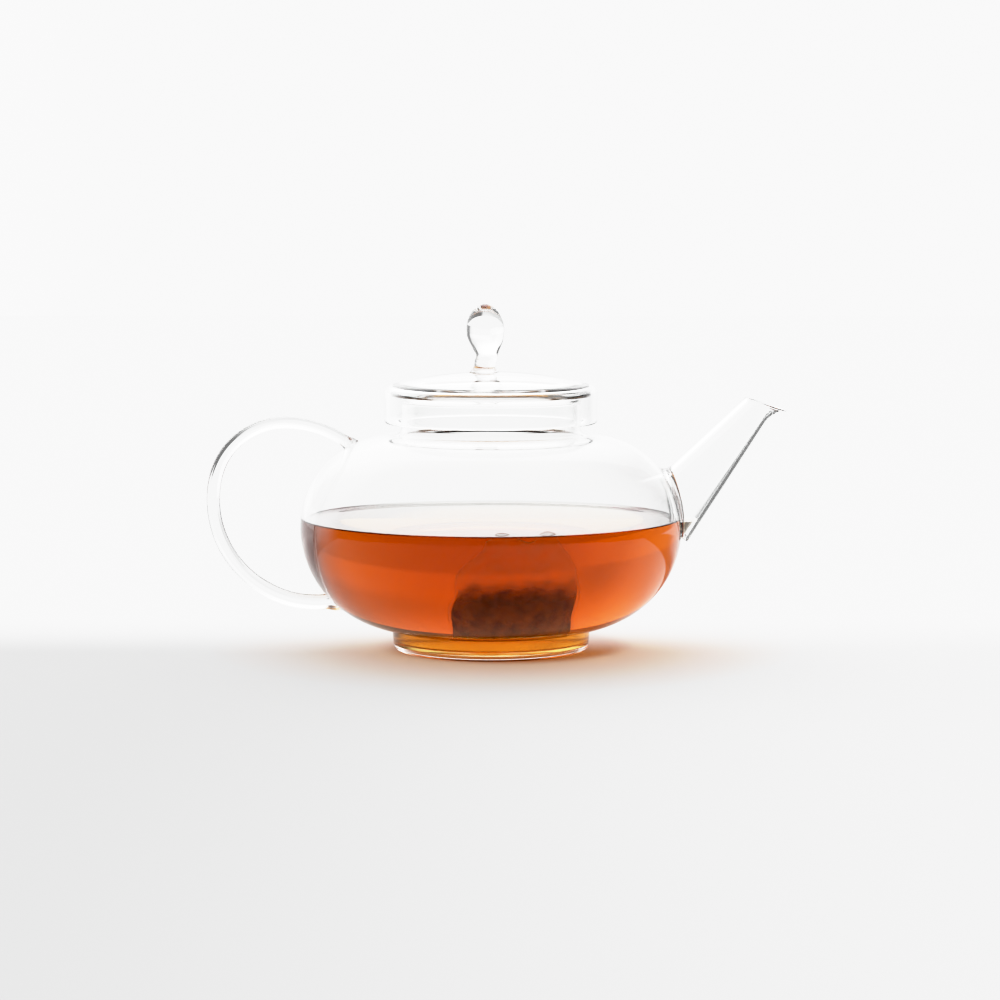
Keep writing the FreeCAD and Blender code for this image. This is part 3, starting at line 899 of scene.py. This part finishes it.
def make_tea():
    """The tea in the bowl and in the root of the spout, as one body.

    Its sides lie a hair inside the glass. The surface creeps up the wall all round, except where
    the spout leaves the bowl. Its open faces are marked for the shader.
    """
    tea = lathe("tea", tea_outline(), wobble=level_at_spout)
    inside = WALL - SINK + 0.02
    edge = wall_radius(TEA_Z + MENISCUS, WALL - SINK) - 0.02
    for poly in tea.data.polygons:
        x, y, z = (v / MM for v in poly.center)
        if z > TEA_Z - 0.01 and math.hypot(x, y) < edge and bowl_gap(x, z, y) < -inside:
            poly.material_index = 1
    wedge = make_spout_tea()
    for obj in (tea, wedge):
        obj.data.materials.append(None)
        obj.data.materials.append(None)
    carve(tea, wedge, "UNION")
    drop(wedge)
    open_faces = tea.data.attributes.new("open", "FLOAT", "FACE")
    open_faces.data.foreach_set("value", [float(p.material_index == 1) for p in tea.data.polygons])
    for poly in tea.data.polygons:
        poly.material_index = 0
    return finish_piece(tea, TEA, "pot", "tea")


# ---------------------------------------------------------------- the tea bag

# The bag's middle line bends from its foot on the bottom of the bowl to its head at the surface.
BAG_FOOT = Vector((6.0, -16.0, 8.4))
BAG_BEND = Vector((8.0, -40.0, 32.0))
BAG_HEAD = Vector((12.5, -60.0, 53.6))
BAG_ACROSS = Vector((1.0, 0.12, 0.0)).normalized()
BAG_HALF = 23.0
STUFFED_TO = 0.42
BAG_FULL = 6.0
BAG_FLAT = 0.12
LEAVES_FULL = 5.3
LEAVES_LEAST = 0.35
LEAVES_WIDE = 0.95
LEAVES_TOP = 0.68


def bag_material():
    """Wet filter paper: thin, tan and fibrous, so that the leaves show through it."""
    mat, tree, out = new_material("bag_cloth")
    link = tree.links.new
    where = add(tree, "ShaderNodeTexCoord")
    fibres = add(tree, "ShaderNodeTexNoise", Scale=900.0, Detail=3.0, Roughness=0.6)
    folds = add(tree, "ShaderNodeTexNoise", Scale=160.0, Detail=2.0)
    tint = add(tree, "ShaderNodeValToRGB")
    tint.color_ramp.elements[0].color = (0.36, 0.19, 0.08, 1)
    tint.color_ramp.elements[1].color = (0.62, 0.40, 0.20, 1)
    cover = add(tree, "ShaderNodeMapRange")
    cover.inputs["From Min"].default_value = 0.3
    cover.inputs["From Max"].default_value = 0.7
    cover.inputs["To Min"].default_value = 0.03
    cover.inputs["To Max"].default_value = 0.11
    bsdf = add(tree, "ShaderNodeBsdfPrincipled", Roughness=0.6)
    bump = add(tree, "ShaderNodeBump", Strength=0.4, Distance=0.0003)
    edge = add(tree, "ShaderNodeAttribute", attribute_name="edge").outputs["Fac"]
    seam = soft_range(tree, edge, 0.35, 0.6, 0.0, 0.05)
    fringe = soft_range(tree, edge, 0.78, 0.95, 0.0, 0.55)
    for texture in (fibres, folds):
        link(where.outputs["Object"], texture.inputs["Vector"])
    link(fibres.outputs["Fac"], tint.inputs["Fac"])
    link(tint.outputs["Color"], bsdf.inputs["Base Color"])
    link(folds.outputs["Fac"], cover.inputs["Value"])
    opaque = combine(tree, "ADD", cover.outputs["Result"], combine(tree, "ADD", seam, fringe))
    link(opaque, bsdf.inputs["Alpha"])
    link(fibres.outputs["Fac"], bump.inputs["Height"])
    link(bump.outputs["Normal"], bsdf.inputs["Normal"])
    link(bsdf.outputs["BSDF"], out.inputs["Surface"])
    return mat


def leaf_material():
    """Wet black tea leaves, finely broken, and looser towards the top of the heap."""
    mat, tree, out = new_material("tea_leaf")
    link = tree.links.new
    where = add(tree, "ShaderNodeTexCoord")
    crumbs = add(tree, "ShaderNodeTexVoronoi", Scale=900.0)
    patches = add(tree, "ShaderNodeTexNoise", Scale=220.0, Detail=4.0)
    tint = add(tree, "ShaderNodeValToRGB")
    tint.color_ramp.elements[0].position = 0.35
    tint.color_ramp.elements[0].color = (0.26, 0.066, 0.008, 1)
    tint.color_ramp.elements[1].position = 0.75
    tint.color_ramp.elements[1].color = (0.70, 0.22, 0.03, 1)
    bsdf = add(tree, "ShaderNodeBsdfPrincipled", Roughness=0.75)
    bump = add(tree, "ShaderNodeBump", Strength=0.8, Distance=0.0006)
    edge = add(tree, "ShaderNodeAttribute", attribute_name="edge").outputs["Fac"]
    loose = combine(tree, "ADD", edge, combine(tree, "MULTIPLY", patches.outputs["Fac"], 0.25))
    link(soft_range(tree, loose, 0.72, 1.12, 1.0, 0.0), bsdf.inputs["Alpha"])
    for texture in (crumbs, patches):
        link(where.outputs["Object"], texture.inputs["Vector"])
    link(patches.outputs["Fac"], tint.inputs["Fac"])
    link(tint.outputs["Color"], bsdf.inputs["Base Color"])
    link(crumbs.outputs["Distance"], bump.inputs["Height"])
    link(bump.outputs["Normal"], bsdf.inputs["Normal"])
    link(bsdf.outputs["BSDF"], out.inputs["Surface"])
    return mat


def bag_point(u, v, swell):
    """A point of the bag: u across from -1 to 1, v from foot to head, swell off its middle."""
    line = BAG_FOOT * (1 - v) ** 2 + BAG_BEND * 2 * v * (1 - v) + BAG_HEAD * v**2
    along = ((BAG_BEND - BAG_FOOT) * (1 - v) + (BAG_HEAD - BAG_BEND) * v).normalized()
    off = BAG_ACROSS.cross(along).normalized()
    gathered = smooth_step((v - 0.6) / 0.4)
    half = BAG_HALF - 3.0 * smooth_step(v / 0.3 - 2.2) - 6.0 * gathered
    half += 0.7 * math.sin(23 * v + 2.0 * u) * abs(u) ** 3
    wave = noise.noise(Vector((2.2 * u, 7.0 * v, 0.3))) * (0.6 + 2.2 * abs(u) ** 2)
    wave += 2.2 * gathered * math.sin(5.0 * u + 1.0)
    return line + BAG_ACROSS * (half * u) + off * (swell + wave)


def bag_swell(u, v, full):
    """Half the bag's thickness: stuffed below, flat above, with flat seams at its sides."""
    stuffed = smooth_step(v / 0.12) * (1 - smooth_step((v - STUFFED_TO) / 0.26))
    body = max(1 - (abs(u) / 0.9) ** 2.5, 0.0) ** 0.6
    lumps = 1 + 0.16 * noise.noise(Vector((4.0 * u, 12.0 * v, 5.1)))
    return full * stuffed * body * lumps


def pouch(name, full, least, sides, top, columns, rows, sharpness):
    """A closed pouch with a half thickness from least up to full, in the bag's own measures.

    sides is its half width, and top gives its height by the place across; 1 is the bag's own. Its
    "edge" attribute rises to 1 at the head, more suddenly with sharpness, and to 0.75 at the sides.
    """
    verts, faces, edges = [], [], []
    foot = 0.02
    for face in (1, -1):
        for j in range(rows + 1):
            for i in range(columns + 1):
                u = sides * (2 * i / columns - 1)
                v = foot + (top(u) - foot) * j / rows
                on_rim = i in (0, columns) or j in (0, rows)
                swell = 0.0 if on_rim else face * (least + bag_swell(u, v, full))
                verts.append(bag_point(u, v, swell) * MM)
                edges.append(max((j / rows) ** sharpness, 0.75 * abs(u / sides) ** 20))
    count = (rows + 1) * (columns + 1)
    for j in range(rows):
        for i in range(columns):
            a = j * (columns + 1) + i
            b, c, d = a + 1, a + columns + 2, a + columns + 1
            faces.append((a, b, c, d))
            faces.append((count + a, count + d, count + c, count + b))
    obj = new_object(name, verts, faces)
    obj.data.attributes.new("edge", "FLOAT", "POINT").data.foreach_set("value", edges)
    sew(obj)
    outward(obj)
    return obj


def sew(obj):
    """Merges the points of both faces along the edges."""
    mesh = bmesh.new()
    mesh.from_mesh(obj.data)
    bmesh.ops.remove_doubles(mesh, verts=mesh.verts, dist=1e-6)
    mesh.to_mesh(obj.data)
    mesh.free()
    obj.data.update()


def heap(u):
    """The uneven height of the leaves across the bag."""
    return LEAVES_TOP + 0.035 * noise.noise(Vector((3.1 * u, 0.4, 1.7)))


def make_bag():
    """The paper bag and, as a pouch inside it, the leaves that fill its lower part."""
    bag = pouch("tea_bag", BAG_FULL, BAG_FLAT, 1.0, lambda u: 1.0, columns=70, rows=110, sharpness=30)
    finish_piece(bag, bag_material(), "pot", "bag_cloth")
    leaves = pouch(
        "tea_leaves", LEAVES_FULL, LEAVES_LEAST, LEAVES_WIDE, heap, columns=60, rows=60, sharpness=1
    )
    finish_piece(leaves, leaf_material(), "pot", "tea_leaf")


# ---------------------------------------------------------------- light

# The room: its least light, and soft patches of light, each with its direction, the cosines to it
# where it starts and is full, and its strength.
ROOM = 0.12
ROOM_LIGHTS = [
    ((0.0, 1.0, 0.0), 0.80, 0.90, 0.23),
    ((-0.26, 0.966, 0.1), 0.45, 0.65, 0.60),
    ((-0.70, 0.62, 0.36), 0.84, 0.96, 0.5),
    ((-0.1, 0.70, 0.70), 0.78, 0.95, 0.9),
    ((-0.3, 0.3, 1.0), 0.45, 0.90, 0.85),
    ((0.0, -1.0, 0.3), 0.30, 0.90, 0.18),
]
# How much brighter the wall is in a low stripe, which whitens the tea's open surface, and under it.
STRIPE = 1.32
UNDER_STRIPE = 1.3


def band(tree, value, rise, fall, most):
    """A factor that goes from 1 up to most over one range of a value and back over another."""
    up = soft_range(tree, value, *rise, 1.0, most)
    down = soft_range(tree, value, *fall, most, 1.0)
    return combine(tree, "MINIMUM", up, down)


def make_light():
    """A studio: a white wall behind, a window at the back left and a pale ceiling.

    The right side is dim below, past the end of the table. The wall has a brighter stripe just
    above the table, which ends on the left. Below the stripe it is brighter on the left only.
    """
    world = bpy.data.worlds.new("studio")
    bpy.context.scene.world = world
    world.use_nodes = True
    tree = world.node_tree
    background = tree.nodes["Background"]
    background.inputs["Color"].default_value = (1, 1, 1, 1)
    direction = add(tree, "ShaderNodeTexCoord").outputs["Generated"]
    up = facing(tree, direction, (0, 0, 1))
    down = facing(tree, direction, (0, 0, -1))
    left = facing(tree, direction, (-1, 0, 0))
    right = facing(tree, direction, (1.0, -0.06, 0.0))
    lit = 0.0
    for vector, start, end, strength in ROOM_LIGHTS:
        patch = soft_range(tree, facing(tree, direction, vector), start, end, 0.0, strength)
        lit = combine(tree, "ADD", patch, lit)
    low = soft_range(tree, down, 0.19, 0.26)
    shadow = combine(tree, "MULTIPLY", low, soft_range(tree, right, 0.0, 0.12))
    lit = combine(tree, "MULTIPLY", lit, combine(tree, "SUBTRACT", 1.0, shadow))
    lit = combine(tree, "MULTIPLY", lit, soft_range(tree, down, 0.12, 0.24, 1.0, 0.7))
    stripe = band(tree, up, (0.078, 0.10), (0.16, 0.24), STRIPE)
    stripe = combine(tree, "MINIMUM", stripe, soft_range(tree, left, 0.12, 0.3, STRIPE, 1.0))
    under = band(tree, up, (-0.2, -0.05), (0.07, 0.085), UNDER_STRIPE)
    under = combine(tree, "MINIMUM", under, soft_range(tree, left, 0.12, 0.3, 1.0, UNDER_STRIPE))
    lit = combine(tree, "MULTIPLY", lit, combine(tree, "MULTIPLY", stripe, under))
    tree.links.new(combine(tree, "ADD", lit, ROOM), background.inputs["Strength"])


# ---------------------------------------------------------------- the table

TABLE_SIZE = 4.0
TABLE_WHITE = 0.34
# Painted light on the table: a glow of its own that stands in for fill light in its shadows, from its left
# to its right, brighter on the right. Near the pot it is painted deep orange under it, where it is
# shaded, and orange beside it, as light that came through the tea. Its tint is given as distances
# from the middle of the tea's patch of light.
TABLE_PAINTED_GLOW = (0.25, 0.43)
GLOW_CENTRE = (0.006, 0.008, 0.0)
PAINTED_TEA_LIGHT_UNDER = (0.60, 0.16, 0.02, 1)
PAINTED_TEA_LIGHT_BESIDE = (1.0, 0.66, 0.46, 1)
GLOW_REACH = (0.046, 0.056, 0.125)
# What goes on behind the table's edge: for the camera the wall, for glass a slightly darker table.
WALL_WHITE = 0.93
TABLE_SEEN = 0.86
TABLE_EDGE = (-0.02, 0.09)
OPEN_BEHIND = (0.07, 0.30)
OPEN_BESIDE = 0.6
OPEN_IN_FRONT = -0.9


def table_shader(tree, place, x):
    """The white table: a dull surface with a painted glow of fill light, brighter to the right, and near
    the pot painted orange as light that came through the tea.
    """
    link = tree.links.new
    diffuse = add(tree, "ShaderNodeBsdfDiffuse")
    diffuse.inputs["Color"].default_value = (TABLE_WHITE, TABLE_WHITE, TABLE_WHITE, 1)
    away = add(tree, "ShaderNodeVectorMath", operation="DISTANCE")
    away.inputs[1].default_value = GLOW_CENTRE
    tint = add(tree, "ShaderNodeValToRGB")
    under, beside, plain_glow = GLOW_REACH
    tint.color_ramp.elements[0].position = under
    tint.color_ramp.elements[0].color = PAINTED_TEA_LIGHT_UNDER
    tint.color_ramp.elements[1].position = plain_glow
    tint.color_ramp.elements[1].color = (1, 1, 1, 1)
    tint.color_ramp.elements.new(beside).color = PAINTED_TEA_LIGHT_BESIDE
    glow = add(tree, "ShaderNodeEmission")
    table = add(tree, "ShaderNodeAddShader")
    link(place, away.inputs[0])
    link(away.outputs["Value"], tint.inputs["Fac"])
    link(tint.outputs["Color"], glow.inputs["Color"])
    link(soft_range(tree, x, -0.15, 0.2, *TABLE_PAINTED_GLOW), glow.inputs["Strength"])
    link(diffuse.outputs["BSDF"], table.inputs[0])
    link(glow.outputs["Emission"], table.inputs[1])
    return table.outputs["Shader"]


def open_places(tree, x, y):
    """1 where glass sees past the table: beside it, far in front, and in a strip behind the pot."""
    beside = combine(tree, "GREATER_THAN", combine(tree, "ABSOLUTE", x, 0.0), OPEN_BESIDE)
    near, far = OPEN_BEHIND
    behind = combine(
        tree, "MULTIPLY", combine(tree, "GREATER_THAN", y, near), combine(tree, "LESS_THAN", y, far)
    )
    front = combine(tree, "LESS_THAN", y, OPEN_IN_FRONT)
    return combine(tree, "MAXIMUM", beside, combine(tree, "MAXIMUM", behind, front))


def make_stage():
    """A white table that ends close behind the pot, where the white wall goes on.

    Seen directly the table fades into the wall, so that there is no edge. Glass sees past it.
    """
    size = TABLE_SIZE
    corners = [(-size, -size, 0), (size, -size, 0), (size, size, 0), (-size, size, 0)]
    floor = new_object("stage_floor", corners, [(0, 1, 2, 3)], smooth=False)
    mat, tree, out = new_material("stage_white")
    link = tree.links.new
    place = add(tree, "ShaderNodeTexCoord").outputs["Object"]
    split = add(tree, "ShaderNodeSeparateXYZ")
    link(place, split.inputs["Vector"])
    x, y = split.outputs["X"], split.outputs["Y"]
    seen = add(tree, "ShaderNodeLightPath").outputs["Is Camera Ray"]
    wall = add(tree, "ShaderNodeEmission")
    fade = add(tree, "ShaderNodeMixShader")
    clear = add(tree, "ShaderNodeBsdfTransparent")
    past = add(tree, "ShaderNodeMixShader")
    through = combine(tree, "MULTIPLY", open_places(tree, x, y), combine(tree, "SUBTRACT", 1.0, seen))
    link(soft_range(tree, seen, 0.0, 1.0, TABLE_SEEN, WALL_WHITE), wall.inputs["Strength"])
    link(soft_range(tree, y, *TABLE_EDGE), fade.inputs["Fac"])
    link(table_shader(tree, place, x), fade.inputs[1])
    link(wall.outputs["Emission"], fade.inputs[2])
    link(through, past.inputs["Fac"])
    link(fade.outputs["Shader"], past.inputs[1])
    link(clear.outputs["BSDF"], past.inputs[2])
    link(past.outputs["Shader"], out.inputs["Surface"])
    floor.data.materials.append(mat)


# ---------------------------------------------------------------- camera and exposure

CAMERA_AT = (0.00378, -1.2, 0.18154)
CAMERA_DOWN = 5.667
LENS = 103.51
SENSOR = 36


def make_camera():
    """A long lens in front of the pot, looking slightly down."""
    camera = bpy.data.cameras.new("camera")
    camera.sensor_width = SENSOR
    camera.lens = LENS
    camera.clip_end = 50
    obj = bpy.data.objects.new("camera", camera)
    obj.location = CAMERA_AT
    obj.rotation_euler = (math.radians(90 - CAMERA_DOWN), 0, 0)
    bpy.context.scene.collection.objects.link(obj)
    bpy.context.scene.camera = obj


# A high-key exposure: how brightly each light is shown, with the whites pressed together.
BLACK = 0.006
BRIGHTEST = 2.0
TONES = [(0.10, 0.155), (0.32, 0.50), (0.50, 0.755), (0.68, 0.89), (0.93, 0.943), (1.2, 0.966)]


def make_settings():
    """The exposure, and enough bounces for light to go through all the glass."""
    scene = bpy.context.scene
    scene.view_settings.view_transform = "Standard"
    scene.view_settings.use_curve_mapping = True
    mapping = scene.view_settings.curve_mapping
    mapping.black_level = (BLACK, BLACK, BLACK)
    mapping.white_level = (BRIGHTEST, BRIGHTEST, BRIGHTEST)
    points = mapping.curves[3].points
    points[1].location = (1.0, 1.0)
    for light, shown in TONES:
        points.new(light / BRIGHTEST, shown)
    mapping.update()
    scene.cycles.max_bounces = 40
    scene.cycles.transmission_bounces = 40
    scene.cycles.glossy_bounces = 12
    scene.cycles.diffuse_bounces = 4
    scene.cycles.transparent_max_bounces = 16


make_camera()
make_light()
make_stage()
make_settings()
make_bowl()
weld_core = make_core()
make_foot()
make_spout(weld_core)
make_handle(weld_core)
drop(weld_core)
make_lid()
make_knob()
make_tea()
make_bag()

bpy.context.view_layer.update()
